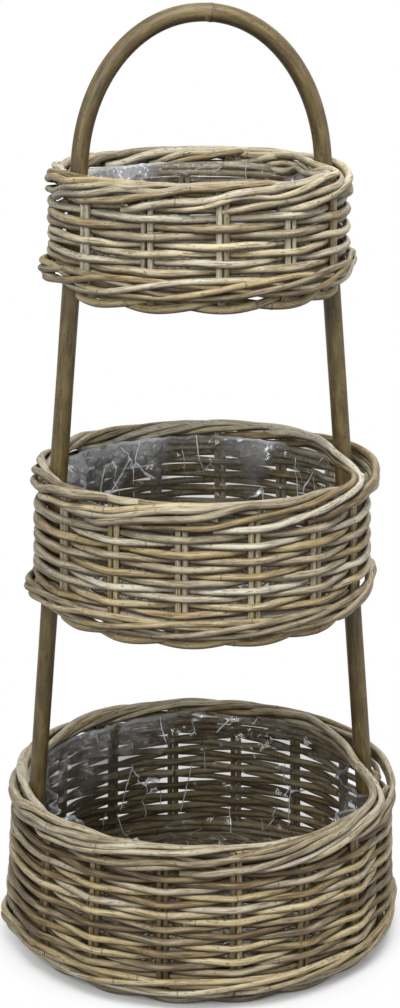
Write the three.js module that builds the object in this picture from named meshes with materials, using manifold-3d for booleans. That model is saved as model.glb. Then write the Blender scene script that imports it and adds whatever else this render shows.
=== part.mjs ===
// A three-tier rattan stand: three round woven baskets, one above the other on one bent cane pole.
// The pole arches over the top basket, and its two legs run down inside the three woven walls.
// Millimetres, +Z up. The origin is on the floor in the middle, and the pole stands in the XZ plane.
import * as THREE from "three";
import { mergeVertices } from "three/addons/utils/BufferGeometryUtils.js";
import manifoldModule from "manifold-3d";

const solidTools = await manifoldModule();
solidTools.setup();
const { Manifold, Mesh } = solidTools;

// Driving dimensions

// Clearance between pieces that touch.
const FIT = 0.4;

// The pole: two straight legs that lean in toward the top, and an arch between them.
const POLE_DIAMETER = 20;
const LEG_RADIUS_AT_FLOOR = 204.5;
const LEG_RADIUS_AT_SPRING = 131;
const SPRING_ABOVE_TOP_BASKET = 7;
const ARCH_RISE = 160;
const ARCH_ROUNDNESS = 0.55;
const LEG_END_HEIGHT = 3;

// The baskets: height of the foot above the floor, height, how far the wall draws in toward the rim,
// and thickness of the weave's strands.
const BOTTOM_FOOT_HEIGHT = 0;
const BOTTOM_HEIGHT = 193;
const BOTTOM_FLARE = 5;
const BOTTOM_STRAND = 7.8;
const MIDDLE_FOOT_HEIGHT = 395;
const MIDDLE_HEIGHT = 163;
const MIDDLE_FLARE = 4;
const MIDDLE_STRAND = 7.2;
const TOP_FOOT_HEIGHT = 746;
const TOP_HEIGHT = 137;
const TOP_FLARE = 3;
const TOP_STRAND = 6.8;

// Pairs of stakes stand in two equal groups, one on each side between the legs; a group's middle is
// at pairMiddle degrees round from +X, and the other is half a turn away.
const BASKETS = [
  {
    name: "bottom",
    footHeight: BOTTOM_FOOT_HEIGHT,
    height: BOTTOM_HEIGHT,
    flare: BOTTOM_FLARE,
    strand: BOTTOM_STRAND,
    pairs: 7,
    pairStep: 21.6,
    pairMiddle: -90,
  },
  {
    name: "middle",
    footHeight: MIDDLE_FOOT_HEIGHT,
    height: MIDDLE_HEIGHT,
    flare: MIDDLE_FLARE,
    strand: MIDDLE_STRAND,
    pairs: 6,
    pairStep: 24.8,
    pairMiddle: -94.5,
  },
  {
    name: "top",
    footHeight: TOP_FOOT_HEIGHT,
    height: TOP_HEIGHT,
    flare: TOP_FLARE,
    strand: TOP_STRAND,
    pairs: 5,
    pairStep: 29.5,
    pairMiddle: -92,
  },
];

const STAKE_DIAMETER = 6;
const PAIR_GAP = 1.5;
const STAKE_END_GAP = 1.5;
const ROW_GAP = 0.8;

// Border rods lie round each other like the strands of a rope. The rim's lay is taller than wide.
const RIM_ROD_DIAMETER = 8.5;
const RIM_RODS = 6;
const RIM_LAY_STRETCH = 1.55;
const RIM_OVERHANG = 2;
const WALE_ROD_DIAMETER = 6.5;
const WALE_RODS = 2;
const ROD_GAP = 0.5;
const BORDER_TWISTS = 4;

const BASE_MAT_THICKNESS = 5;
const LINER_THICKNESS = 1;
const LINER_TAPER = 10;

const NAIL_DIAMETER = 2.4;
const NAIL_DEPTH_IN_POLE = 13;
const NAIL_HEAD_DIAMETER = 5.5;
const NAIL_HEAD_THICKNESS = 1.2;

// Facets
const POLE_SIDES = 10;
const POLE_STEPS = 64;
const ROD_SIDES = 5;
const STRAND_SIDES = 4;
const STAKE_SIDES = 5;
const ROUND_SIDES = 28;
const NAIL_SIDES = 8;
const MAX_WEAVE_STEP = THREE.MathUtils.degToRad(30);
const MAX_ROD_STEP = THREE.MathUtils.degToRad(12.5);

// Points closer than this are welded into one.
const WELD_DISTANCE = 1e-4;
// Slack when an angle is compared with a leg's edge.
const ANGLE_SLACK = 1e-4;
// A rod lies on the inner side of its rope where the cosine of its lay angle is under this.
const INNER_SIDE = -0.7;

const FULL_TURN = 2 * Math.PI;
const SPRING_HEIGHT = TOP_FOOT_HEIGHT + TOP_HEIGHT + SPRING_ABOVE_TOP_BASKET;
const ARCH_TOP = SPRING_HEIGHT + ARCH_RISE;
const POLE_RADIUS = POLE_DIAMETER / 2;
const STAKE_RADIUS = STAKE_DIAMETER / 2;

const finishes = {
  cane: new THREE.MeshStandardMaterial({ color: 0x7a6a4c, roughness: 0.45, metalness: 0 }),
  weave: new THREE.MeshStandardMaterial({ color: 0xa8977a, roughness: 0.7, metalness: 0 }),
  border: new THREE.MeshStandardMaterial({ color: 0x9c8a68, roughness: 0.65, metalness: 0 }),
  stakes: new THREE.MeshStandardMaterial({ color: 0x86714f, roughness: 0.7, metalness: 0 }),
  film: new THREE.MeshStandardMaterial({ color: 0xe8edf0, roughness: 0.15, metalness: 0 }),
  steel: new THREE.MeshStandardMaterial({ color: 0x8f8d88, roughness: 0.35, metalness: 1 }),
};

const stand = new THREE.Group();

function addPiece(name, geometry, material) {
  const mesh = new THREE.Mesh(geometry, material);
  mesh.name = name;
  stand.add(mesh);
}

// Joining and cutting of closed solids

function toSolid(geometry) {
  const bare = new THREE.BufferGeometry();
  bare.setAttribute("position", geometry.getAttribute("position"));
  bare.setIndex(geometry.getIndex());
  const welded = mergeVertices(bare, WELD_DISTANCE);
  const mesh = new Mesh({
    numProp: 3,
    vertProperties: new Float32Array(welded.getAttribute("position").array),
    triVerts: new Uint32Array(welded.getIndex().array),
  });
  return new Manifold(mesh);
}

function toGeometry(solid) {
  const mesh = solid.getMesh();
  const geometry = new THREE.BufferGeometry();
  geometry.setAttribute("position", new THREE.BufferAttribute(mesh.vertProperties, 3));
  geometry.setIndex(new THREE.BufferAttribute(mesh.triVerts, 1));
  geometry.computeVertexNormals();
  return geometry;
}

function joined(geometries) {
  return toGeometry(Manifold.union(geometries.map(toSolid)));
}

function cut(geometry, tools) {
  return toGeometry(toSolid(geometry).subtract(Manifold.union(tools.map(toSolid))));
}

// Round rod from one point to another
function rodBetween(start, end, radius, sides) {
  const along = new THREE.Vector3().subVectors(end, start);
  const rod = new THREE.CylinderGeometry(radius, radius, along.length(), sides);
  const lengthwise = new THREE.Vector3(0, 1, 0);
  const turn = new THREE.Quaternion().setFromUnitVectors(lengthwise, along.clone().normalize());
  const middle = new THREE.Vector3().addVectors(start, end).multiplyScalar(0.5);
  return rod.applyQuaternion(turn).translate(middle.x, middle.y, middle.z);
}

// Solid of revolution about Z from a profile of [radius, height] points
function turned(profile, sides) {
  const points = profile.map(([radius, height]) => new THREE.Vector2(radius, height));
  return new THREE.LatheGeometry(points, sides).rotateX(Math.PI / 2);
}

// Rod bent round the axis through points of { angle, radius, height }. The section has a flat
// side below, and its corners lie at cornerRadius from the rod's centreline.
function bentRod(points, cornerRadius, sides, closed) {
  const positions = [];
  const faces = [];
  const corners = Array.from({ length: sides }, (_, i) => {
    const angle = -Math.PI / 2 + (Math.PI * (2 * i + 1)) / sides;
    return [cornerRadius * Math.cos(angle), cornerRadius * Math.sin(angle)];
  });
  for (const { angle, radius, height } of points) {
    for (const [out, up] of corners) {
      positions.push((radius + out) * Math.cos(angle), (radius + out) * Math.sin(angle), height + up);
    }
  }
  const rings = points.length;
  const spans = closed ? rings : rings - 1;
  for (let ring = 0; ring < spans; ring += 1) {
    const here = ring * sides;
    const there = ((ring + 1) % rings) * sides;
    for (let corner = 0; corner < sides; corner += 1) {
      const next = (corner + 1) % sides;
      faces.push(here + corner, there + corner, there + next);
      faces.push(here + corner, there + next, here + next);
    }
  }
  if (!closed) {
    const last = (rings - 1) * sides;
    for (let corner = 1; corner < sides - 1; corner += 1) {
      faces.push(0, corner, corner + 1);
      faces.push(last, last + corner + 1, last + corner);
    }
  }
  const geometry = new THREE.BufferGeometry();
  geometry.setAttribute("position", new THREE.Float32BufferAttribute(positions, 3));
  geometry.setIndex(faces);
  geometry.computeVertexNormals();
  return geometry;
}

// The pole

function legRadius(height) {
  const share = height / SPRING_HEIGHT;
  return LEG_RADIUS_AT_FLOOR + (LEG_RADIUS_AT_SPRING - LEG_RADIUS_AT_FLOOR) * share;
}

// One side of the pole, from the leg's end to the arch's top; side is -1 or 1
function poleSide(side) {
  const end = new THREE.Vector3(side * legRadius(LEG_END_HEIGHT), 0, LEG_END_HEIGHT);
  const spring = new THREE.Vector3(side * LEG_RADIUS_AT_SPRING, 0, SPRING_HEIGHT);
  const top = new THREE.Vector3(0, 0, ARCH_TOP - POLE_RADIUS);
  const upLeg = new THREE.Vector3().subVectors(spring, end).normalize();
  const fromSpring = spring.clone().addScaledVector(upLeg, ARCH_ROUNDNESS * (top.z - spring.z));
  const toTop = new THREE.Vector3(side * ARCH_ROUNDNESS * LEG_RADIUS_AT_SPRING, 0, top.z);
  return { end, spring, fromSpring, toTop, top };
}

function poleGeometry() {
  const left = poleSide(-1);
  const right = poleSide(1);
  const path = new THREE.CurvePath();
  path.add(new THREE.LineCurve3(left.end, left.spring));
  path.add(new THREE.CubicBezierCurve3(left.spring, left.fromSpring, left.toTop, left.top));
  path.add(new THREE.CubicBezierCurve3(right.top, right.toTop, right.fromSpring, right.spring));
  path.add(new THREE.LineCurve3(right.spring, right.end));
  const section = new THREE.Shape();
  section.absarc(0, 0, POLE_RADIUS, 0, FULL_TURN);
  return new THREE.ExtrudeGeometry(section, {
    extrudePath: path,
    steps: POLE_STEPS,
    curveSegments: POLE_SIDES / 2,
    bevelEnabled: false,
  });
}

// Rope of border rods: how far a rod's centreline swings from the rope's, across and up, and how
// far the rope reaches above and below its own centreline
function borderLay(diameter, rods, stretch) {
  const lay = (diameter + ROD_GAP) / 2 / Math.sin(Math.PI / rods);
  const layUp = lay * stretch;
  return { diameter, rods, lay, layUp, reach: lay + diameter / 2, reachUp: layUp + diameter / 2 };
}

// Sizes of a basket that follow from its driving dimensions. The wall's outside clears the leg
// by one strand, so every row can pass in front of the leg.
function basketSizes(spec) {
  const { footHeight, height, strand } = spec;
  const wallAtFoot = legRadius(footHeight) + POLE_RADIUS + FIT + strand;
  const wallRadius = (level) => wallAtFoot - (spec.flare * (level - footHeight)) / height;
  const stakeRadius = (level) => wallRadius(level) - strand - FIT - STAKE_RADIUS;

  const rimLay = borderLay(RIM_ROD_DIAMETER, RIM_RODS, RIM_LAY_STRETCH);
  const rimHeight = footHeight + height - rimLay.reachUp;
  const rimBottom = rimHeight - rimLay.reachUp;
  const rim = {
    ...rimLay,
    height: rimHeight,
    radius: stakeRadius(rimHeight) + RIM_OVERHANG,
    firstLay: 0,
  };

  const footRowStep = strand + ROW_GAP;
  const footTop = footHeight + strand + footRowStep;
  const waleLay = borderLay(WALE_ROD_DIAMETER, WALE_RODS, 1);
  const waleHeight = footTop + FIT + waleLay.reachUp;
  const stakesFront = stakeRadius(waleHeight) + STAKE_RADIUS + FIT;
  const wale = {
    ...waleLay,
    height: waleHeight,
    radius: stakesFront / Math.cos(MAX_ROD_STEP / 2) + waleLay.reach,
    firstLay: -Math.PI / 2,
  };

  const stickBottom = footTop + FIT;
  const matBottom = stickBottom + STAKE_DIAMETER + FIT;
  const matTop = matBottom + BASE_MAT_THICKNESS;
  return {
    ...spec,
    stakeRadius,
    rim,
    wale,
    footRowStep,
    rowsBottom: waleHeight + waleLay.reachUp + FIT + strand / 2,
    rowsTop: rimBottom - FIT - strand / 2,
    stickBottom,
    matBottom,
    matTop,
    linerBottom: matTop + FIT,
    linerTop: rimBottom - FIT,
    insideLegs: (level) => legRadius(level) - POLE_RADIUS - 2 * FIT,
  };
}

// What the weave meets on its way round, in order of angle: the two legs and the pairs of stakes
function stationsOf(basket) {
  const middle = THREE.MathUtils.degToRad(basket.pairMiddle);
  const step = THREE.MathUtils.degToRad(basket.pairStep);
  const stations = [
    { angle: 0, isLeg: true },
    { angle: Math.PI, isLeg: true },
  ];
  for (const group of [middle, middle + Math.PI]) {
    for (let pair = 0; pair < basket.pairs; pair += 1) {
      const angle = group + (pair - (basket.pairs - 1) / 2) * step;
      stations.push({ angle: (angle + FULL_TURN) % FULL_TURN, isLeg: false });
    }
  }
  stations.sort((a, b) => a.angle - b.angle);
  let pairNumber = 0;
  for (const station of stations) {
    station.pairNumber = pairNumber;
    pairNumber += station.isLeg ? 0 : 1;
  }
  return stations;
}

// Points of one row at one station: two in front of a leg or a pair, or one behind a pair
function rowPoints(basket, station, parity, height) {
  const { strand } = basket;
  const stakes = basket.stakeRadius(height);
  if (!station.isLeg && (station.pairNumber + parity) % 2 === 1) {
    const behind = stakes - STAKE_RADIUS - FIT - strand / 2;
    return [{ angle: station.angle, radius: behind }];
  }
  const legFront = legRadius(height - strand / 2) + POLE_RADIUS + FIT;
  const stakeFront = stakes + STAKE_RADIUS + FIT;
  const front = (station.isLeg ? Math.max(legFront, stakeFront) : stakeFront) + strand / 2;
  const halfWidth = station.isLeg
    ? POLE_RADIUS + FIT + strand / 2
    : STAKE_DIAMETER + PAIR_GAP / 2;
  const hold = halfWidth / front;
  const radius = front / Math.cos(hold);
  return [
    { angle: station.angle - hold, radius },
    { angle: station.angle + hold, radius },
  ];
}

// Points added on long ways between stations, so that a row stays round
function withSteps(points, maxStep) {
  const stepped = [];
  points.forEach((point, i) => {
    const before = points[i - 1];
    const steps = before ? Math.ceil((point.angle - before.angle) / maxStep) : 1;
    for (let step = 1; step < steps; step += 1) {
      const share = step / steps;
      stepped.push({
        angle: THREE.MathUtils.lerp(before.angle, point.angle, share),
        radius: THREE.MathUtils.lerp(before.radius, point.radius, share),
      });
    }
    stepped.push(point);
  });
  return stepped;
}

// One weaver, climbing two rows a turn so that the other weaver's rows lie between its own
function weaverGeometry(basket, stations, parity) {
  const { strand, rowsBottom, rowsTop } = basket;
  const leastRow = strand + ROW_GAP;
  const turns = Math.floor((rowsTop - rowsBottom - leastRow) / (2 * leastRow));
  const row = (rowsTop - rowsBottom) / (2 * turns + 1);
  const start = rowsBottom + parity * row;
  const climb = (angle) => start + (2 * row * angle) / FULL_TURN;
  const points = [];
  for (let turn = 0; turn < turns; turn += 1) {
    for (const station of stations) {
      const passed = { ...station, angle: station.angle + turn * FULL_TURN };
      points.push(...rowPoints(basket, passed, parity, climb(passed.angle)));
    }
  }
  const ends = points.filter((point) => point.angle >= 0 && point.angle <= turns * FULL_TURN);
  const path = withSteps(ends, MAX_WEAVE_STEP);
  path.forEach((point) => {
    point.height = climb(point.angle);
  });
  return bentRod(path, strand / Math.SQRT2, STRAND_SIDES, false);
}

// Points of a foot row at one station: inside a leg, or in front of one pair and behind the next
function footRowPoints(basket, station, parity, height) {
  if (!station.isLeg) {
    return rowPoints(basket, station, parity, height);
  }
  const halfStrand = basket.strand / 2;
  const radius = legRadius(height + halfStrand) - POLE_RADIUS - FIT - halfStrand;
  const hold = (POLE_RADIUS + FIT + halfStrand) / radius;
  return [
    { angle: station.angle - hold, radius },
    { angle: station.angle + hold, radius },
  ];
}

// One closed row under the wale
function footRowGeometry(basket, stations, parity) {
  const height = basket.footHeight + basket.strand / 2 + parity * basket.footRowStep;
  const points = stations.flatMap((station) => footRowPoints(basket, station, parity, height));
  const first = points[0];
  const round = withSteps([...points, { ...first, angle: first.angle + FULL_TURN }], MAX_WEAVE_STEP);
  round.pop();
  round.forEach((point) => {
    point.height = height;
  });
  return bentRod(round, basket.strand / Math.SQRT2, STRAND_SIDES, true);
}

// How far round its rope a border rod has turned at an angle round the basket
function layAngle(border, rod, angle) {
  return BORDER_TWISTS * angle + border.firstLay + (rod * FULL_TURN) / border.rods;
}

function passesInsideLegs(border, rod) {
  return Math.cos(layAngle(border, rod, 0)) < INNER_SIDE;
}

function freeRadius(border, rod, angle) {
  return border.radius + border.lay * Math.cos(layAngle(border, rod, angle));
}

// How far the outer rods move out together at a leg, so that the innermost of them clears it
function shiftAtLeg(border, angle, leastRadius) {
  let shift = 0;
  for (let rod = 0; rod < border.rods; rod += 1) {
    if (!passesInsideLegs(border, rod)) {
      shift = Math.max(shift, leastRadius - freeRadius(border, rod, angle));
    }
  }
  return shift;
}

// One rod of a border. At the legs, the rods on the inner side of the lay pass inside the leg.
function borderRodGeometry(border, rod) {
  const thickness = border.diameter / 2;
  const outside = legRadius(border.height - border.reachUp) + POLE_RADIUS + FIT + thickness;
  const inside = legRadius(border.height + thickness) - POLE_RADIUS - FIT - thickness;
  const hold = (POLE_RADIUS + FIT + thickness) / inside;
  const legEdges = [-hold, hold, Math.PI - hold, Math.PI + hold, FULL_TURN - hold];
  const round = withSteps(legEdges.map((angle) => ({ angle, radius: 0 })), MAX_ROD_STEP);
  round.pop();
  for (const point of round) {
    const { angle } = point;
    const fromLeg = Math.min(Math.abs(angle), Math.abs(angle - Math.PI));
    point.radius = freeRadius(border, rod, angle);
    point.height = border.height + border.layUp * Math.sin(layAngle(border, rod, angle));
    if (fromLeg < hold + ANGLE_SLACK) {
      const isInside = passesInsideLegs(border, rod);
      const outShift = shiftAtLeg(border, angle, outside / Math.cos(hold));
      point.radius = isInside ? Math.min(point.radius, inside) : point.radius + outShift;
    }
  }
  return bentRod(round, thickness, ROD_SIDES, true);
}

// Level of the lowest rod of a border at an angle round the basket
function borderUnderside(border, angle) {
  let lowest = border.height;
  for (let rod = 0; rod < border.rods; rod += 1) {
    lowest = Math.min(lowest, border.height + border.layUp * Math.sin(layAngle(border, rod, angle)));
  }
  return lowest - (border.diameter / 2) * Math.cos(Math.PI / ROD_SIDES);
}

// Stakes in pairs, each pair standing on the end of a base stick that crosses the basket
function stakesGeometry(basket, stations) {
  const bottom = basket.footHeight + STAKE_END_GAP;
  const pairWidth = 2 * STAKE_DIAMETER + PAIR_GAP;
  const stickLength = 2 * basket.stakeRadius(basket.stickBottom);
  const solids = [];
  for (const station of stations.filter(({ isLeg }) => !isLeg)) {
    const out = new THREE.Vector3(Math.cos(station.angle), Math.sin(station.angle), 0);
    const across = new THREE.Vector3(-out.y, out.x, 0);
    const halfTurn = pairWidth / 2 / basket.rim.radius;
    const edges = [station.angle - halfTurn, station.angle + halfTurn];
    const top = Math.min(...edges.map((angle) => borderUnderside(basket.rim, angle))) - FIT;
    for (const side of [-1, 1]) {
      const aside = (side * (STAKE_DIAMETER + PAIR_GAP)) / 2;
      const [start, end] = [bottom, top].map((level) =>
        out.clone().multiplyScalar(basket.stakeRadius(level)).addScaledVector(across, aside).setZ(level),
      );
      solids.push(rodBetween(start, end, STAKE_RADIUS, STAKE_SIDES));
    }
    if (station.angle < Math.PI) {
      const stick = new THREE.BoxGeometry(stickLength, STAKE_DIAMETER + PAIR_GAP, STAKE_DIAMETER);
      stick.rotateZ(station.angle);
      solids.push(stick.translate(0, 0, basket.stickBottom + STAKE_RADIUS));
    }
  }
  return joined(solids);
}

function baseMatGeometry(basket) {
  const radius = basket.insideLegs(basket.matTop);
  const profile = [
    [0, basket.matBottom],
    [radius, basket.matBottom],
    [radius, basket.matTop],
    [0, basket.matTop],
  ];
  return turned(profile, ROUND_SIDES);
}

// Film cup with an open mouth, standing on the base mat inside the legs
function linerGeometry(basket) {
  const { linerBottom, linerTop } = basket;
  const mouth = basket.insideLegs(linerTop);
  const floor = mouth - LINER_TAPER;
  const profile = [
    [0, linerBottom],
    [floor, linerBottom],
    [mouth, linerTop],
    [mouth - LINER_THICKNESS, linerTop],
    [floor - LINER_THICKNESS, linerBottom + LINER_THICKNESS],
    [0, linerBottom + LINER_THICKNESS],
  ];
  return turned(profile, ROUND_SIDES);
}

// Nails through the lower wale rod into the legs

function nailLine(basket) {
  const height = basket.wale.height - basket.wale.layUp;
  const headBottom = basket.wale.radius + WALE_ROD_DIAMETER / 2 + FIT;
  const tip = legRadius(height) + POLE_RADIUS - NAIL_DEPTH_IN_POLE;
  return { height, headBottom, tip };
}

// Shape along a nail's axis, laid out from the basket's axis toward the side of the leg
function alongNail(profile, side, height) {
  const shape = turned(profile, NAIL_SIDES);
  return shape.rotateY((side * Math.PI) / 2).translate(0, 0, height);
}

function nailGeometry(basket, side) {
  const { height, headBottom, tip } = nailLine(basket);
  const radius = NAIL_DIAMETER / 2;
  const profile = [
    [0, tip],
    [radius, tip + NAIL_DIAMETER],
    [radius, headBottom],
    [NAIL_HEAD_DIAMETER / 2, headBottom],
    [NAIL_HEAD_DIAMETER / 2, headBottom + NAIL_HEAD_THICKNESS],
    [0, headBottom + NAIL_HEAD_THICKNESS],
  ];
  return alongNail(profile, side, height);
}

function nailHole(basket, side) {
  const { height, headBottom, tip } = nailLine(basket);
  const radius = NAIL_DIAMETER / 2 + FIT;
  const profile = [
    [0, tip - FIT],
    [radius, tip - FIT],
    [radius, headBottom],
    [0, headBottom],
  ];
  return alongNail(profile, side, height);
}

// Assembly

const baskets = BASKETS.map(basketSizes);
const nailHoles = baskets.flatMap((basket) => [nailHole(basket, -1), nailHole(basket, 1)]);
addPiece("hoop_pole", cut(poleGeometry(), nailHoles), finishes.cane);

for (const basket of baskets) {
  const { name } = basket;
  const stations = stationsOf(basket);
  const holes = [nailHole(basket, -1), nailHole(basket, 1)];
  addPiece(`${name}_stakes`, stakesGeometry(basket, stations), finishes.stakes);
  addPiece(`${name}_base_mat`, baseMatGeometry(basket), finishes.weave);
  for (const parity of [0, 1]) {
    addPiece(`${name}_weaver_${parity + 1}`, weaverGeometry(basket, stations, parity), finishes.weave);
    addPiece(`${name}_foot_row_${parity + 1}`, footRowGeometry(basket, stations, parity), finishes.weave);
  }
  for (let rod = 0; rod < RIM_RODS; rod += 1) {
    addPiece(`${name}_rim_rod_${rod + 1}`, borderRodGeometry(basket.rim, rod), finishes.border);
  }
  for (let rod = 0; rod < WALE_RODS; rod += 1) {
    const geometry = borderRodGeometry(basket.wale, rod);
    const isNailed = rod === 0;
    addPiece(`${name}_wale_rod_${rod + 1}`, isNailed ? cut(geometry, holes) : geometry, finishes.border);
  }
  addPiece(`${name}_liner`, linerGeometry(basket), finishes.film);
  addPiece(`${name}_left_nail`, nailGeometry(basket, -1), finishes.steel);
  addPiece(`${name}_right_nail`, nailGeometry(basket, 1), finishes.steel);
}

export default stand;
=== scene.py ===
"""Looks of a three-tier rattan stand: round woven baskets with film liners on one bent cane pole.

Metres, +Z up, origin on the floor in the middle. The pole stands in the XZ plane.
"""
import bisect
import math
import random

import bpy
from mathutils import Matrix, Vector, noise


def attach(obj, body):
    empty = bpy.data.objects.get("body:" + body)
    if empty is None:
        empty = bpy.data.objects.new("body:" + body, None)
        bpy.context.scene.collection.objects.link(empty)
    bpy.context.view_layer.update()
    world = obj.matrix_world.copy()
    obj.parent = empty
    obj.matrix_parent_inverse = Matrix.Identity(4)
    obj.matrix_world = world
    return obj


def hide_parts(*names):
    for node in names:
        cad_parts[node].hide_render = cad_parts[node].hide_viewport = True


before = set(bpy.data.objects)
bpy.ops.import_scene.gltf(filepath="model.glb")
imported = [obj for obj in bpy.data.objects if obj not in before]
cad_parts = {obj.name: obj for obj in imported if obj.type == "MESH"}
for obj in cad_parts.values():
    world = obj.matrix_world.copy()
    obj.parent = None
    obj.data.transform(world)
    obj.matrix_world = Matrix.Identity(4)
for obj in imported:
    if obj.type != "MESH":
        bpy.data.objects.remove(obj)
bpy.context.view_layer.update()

MM = 0.001
FULL_TURN = 2 * math.pi

# Camera, as fitted to the photograph
CAMERA_DISTANCE = 2.448
CAMERA_HEIGHT = 1.196
CAMERA_AZIMUTH = math.radians(10)
CAMERA_PITCH = math.radians(15.75)
CAMERA_LENS = 81.93
CAMERA_TURN_LEFT = math.radians(0.057)

# Clearances: between strands that touch, between the two ends of a ring, and in the CAD
TOUCH = 0.3 * MM
END_GAP = 1.5 * MM
CAD_FIT = 0.4 * MM

# The pole; its drawn cane leaves room for the growth rings
POLE_RADIUS = 10 * MM
CANE_RADIUS = 9.8 * MM
CANE_TONE = 0.45
LEG_RADIUS_AT_FLOOR = 204.5 * MM
LEG_RADIUS_AT_SPRING = 131 * MM
SPRING_HEIGHT = 890 * MM
ARCH_TOP = 1050 * MM
ARCH_ROUNDNESS = 0.55
LEG_END_HEIGHT = 3 * MM
LEG_STEPS = 60
ARCH_STEPS = 40
POLE_RING_GAP = 330 * MM
POLE_RING_PAST_CROWN = 9 * MM
LEG_ANGLES = (0.0, math.pi)

# Uprights and base
STAKE_RADIUS = 3.4 * MM
STAKE_CLEARANCE = 3.2 * MM
STAKE_APART = 7.1 * MM
STAKE_BELOW_RODS = 1 * MM
PEG_RADIUS = 4 * MM
PEG_INTO_FOOT = 1 * MM
STICK_RADIUS = 3 * MM
STICK_INTO_EYE = 4 * MM
EYE_STICKS = 4
EYE_STICK_RADIUS = 0.98 * STICK_RADIUS
EYE_STICK_STEP = 2.1 * STICK_RADIUS
EYE_STICK_SHORTER = 5 * MM
BASE_ABOVE_FOOT = 19.8 * MM
BASE_STRAND_RADIUS = 3.2 * MM
BASE_RING_STEP = 5.7 * MM
BASE_EYE_RADIUS = 30 * MM
BASE_TOP = 8 * MM
BASE_CLEAR_OF_LEG = 5 * MM
BASE_GAP_AT_LEG = math.radians(7)

# Wall rows; girths are shares of a strand's radius, bends say how quickly a waver changes
ROW_UNEVEN = 0.8 * MM
ROW_WAVER = 2.0 * MM
ROW_WAVER_BENDS = 3
ROW_GIRTH = (0.88, 1.05)
WEAVE_HOLD = 6 * MM
WEAVE_SWING = 6.5 * MM
WEAVE_SLACK = 1.4
LEG_BULGE_REACH = 2.2
SWELL_TURN = math.radians(185)

# Rim border
RIM_ROD_RADIUS = 4.2 * MM
RIM_ROD_GIRTH = (0.8, 1.12)
RIM_ROD_SPACING = 7.7 * MM
RIM_ROD_SHIFT = 0.2
RIM_ROD_FIRST = (-2.0 * MM, 3.0 * MM)
RIM_ROD_LAST = (-6.0 * MM, 2.0 * MM)
RIM_FOLD_RADIUS = 7 * MM
RIM_INNER_DROP = 9 * MM
RIM_SET_OUT = 1 * MM
RIM_TUCK = 8 * MM
RIM_TUCK_TURN = math.radians(9)
RIM_WAVER_UP = 6.5 * MM
RIM_WAVER_UP_BENDS = 3
RIM_WAVER_OUT = 3.2 * MM
RIM_WAVER_OUT_BENDS = 5
LOOP_TURN = math.radians(32)

# The way that some rim rods take past the inside of the right leg
SLOT_BEFORE_LEG = math.radians(34)
SLOT_PAST_LEG = math.radians(55)
SLOT_END = (0.9, 1.25)
SLOT_CLIMB = 0.25
SLOT_HOLD = 1.15

# Wale and foot
WALE_STRANDS = 4
WALE_STRAND_RADIUS = 3.7 * MM
WALE_REACH_ACROSS = 1.5 * MM
WALE_TWISTS = 3
WALE_FIRST_TWIST = math.radians(75)
WALE_TONES = (0.1, 0.7)
WALE_WAVER = 0.5
WALE_WAVER_BENDS = 2.5
WALE_END_GAP = 2 * MM
WALE_END_TUCK = 2.5 * MM
WALE_END_TURN = 0.1
WALE_BULGE_AT_LEG = 8 * MM
WALE_BULGE_TURN = math.radians(12)
FOOT_STRANDS = 2
FOOT_SET_OUT = 3 * MM
FOOT_DRAWN_IN = 15 * MM
FOOT_LED_IN_FROM = math.radians(17)
FOOT_LED_IN_OVER = math.radians(12)
FOOT_START_PAST_PAIR = 0.02
FOOT_END_GAP = 0.008

# Strands as swept tubes
STRAND_STEP = 5 * MM
GUIDE_STEPS = 260
STRAND_SIDES = 9
BORDER_SIDES = 10
POLE_SIDES = 24
SIDE_FACE_CORNERS = 4
GIRTH_WAVER = 0.05
GIRTH_BENDS_PER_METRE = 9
GIRTH_PHASES = 50
RING_GAP = (0.2, 0.6)
RING_FROM_START = 0.01
RING_REACH = 12 * MM
RING_POINTS = (-4 * MM, -1.5 * MM, 0.0, 1.5 * MM, 4 * MM)
RING_WIDTH = 1.8 * MM
RING_SWELL = 0.06

# Film liners; each fold is its scale, its stretch upwards and its depth
FILM_AROUND = 280
FILM_UP = 44
FILM_RINGS = 18
FILM_THICKNESS = 0.2 * MM
FILM_ABOVE_FOOT = 30 * MM
FILM_CLEARANCE = 1.2 * MM
FILM_LED_IN_FROM = math.radians(15)
FILM_LED_IN_OVER = math.radians(10)
FILM_FOLDS = ((17, 0.35, 9 * MM), (30, 1.0, 7 * MM), (75, 1.0, 2.4 * MM))
FILM_FOLDS_APART = 5
FILM_PLACES = 40
FLOOR_FOLDS = 0.4
WALL_FOLDS = 0.6
WALL_FOLDS_MORE_UP = 0.6
FILM_SHAKE_ROUND = 0.25
FILM_SHAKE_UP = 1.2 * MM
CORNER_UP = 12 * MM
CORNER_IN = 5 * MM
CORNER_CURL = 7 * MM
CORNER_CURL_POWER = 8
EDGE_BELOW_RIM = 34 * MM
EDGE_RISE = 17 * MM
EDGE_PEAK = 2 * MM
EDGE_PEAK_BENDS = 17
EDGE_FREE_FROM = math.radians(8)
EDGE_FREE_OVER = math.radians(14)
EDGE_TUCK = 3 * MM
EDGE_TUCK_SHARE = 0.2
FLAP_BENDS = 3
FLAP_FROM = 0.05
FLAP_OVER = 0.3
FLAP_RISE = 8 * MM
FLAP_PEAK = 5 * MM

# Rattan's grain: how often it changes along a strand, its noise's scale, detail and roughness
FIBRES = (9.0, 2.8, 5.0, 0.68)
SCUFFS = (22.0, 1.5, 4.0, 0.62)
SPECKS = (90.0, 1.9, 3.0, 0.5)
STREAKS = (14.0, 2.4, 5.0, 0.6)
SLOW_CHANGES = 9.0
TONE_SHIFT = 57.0
TONE_SPREAD = 13.7

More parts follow.
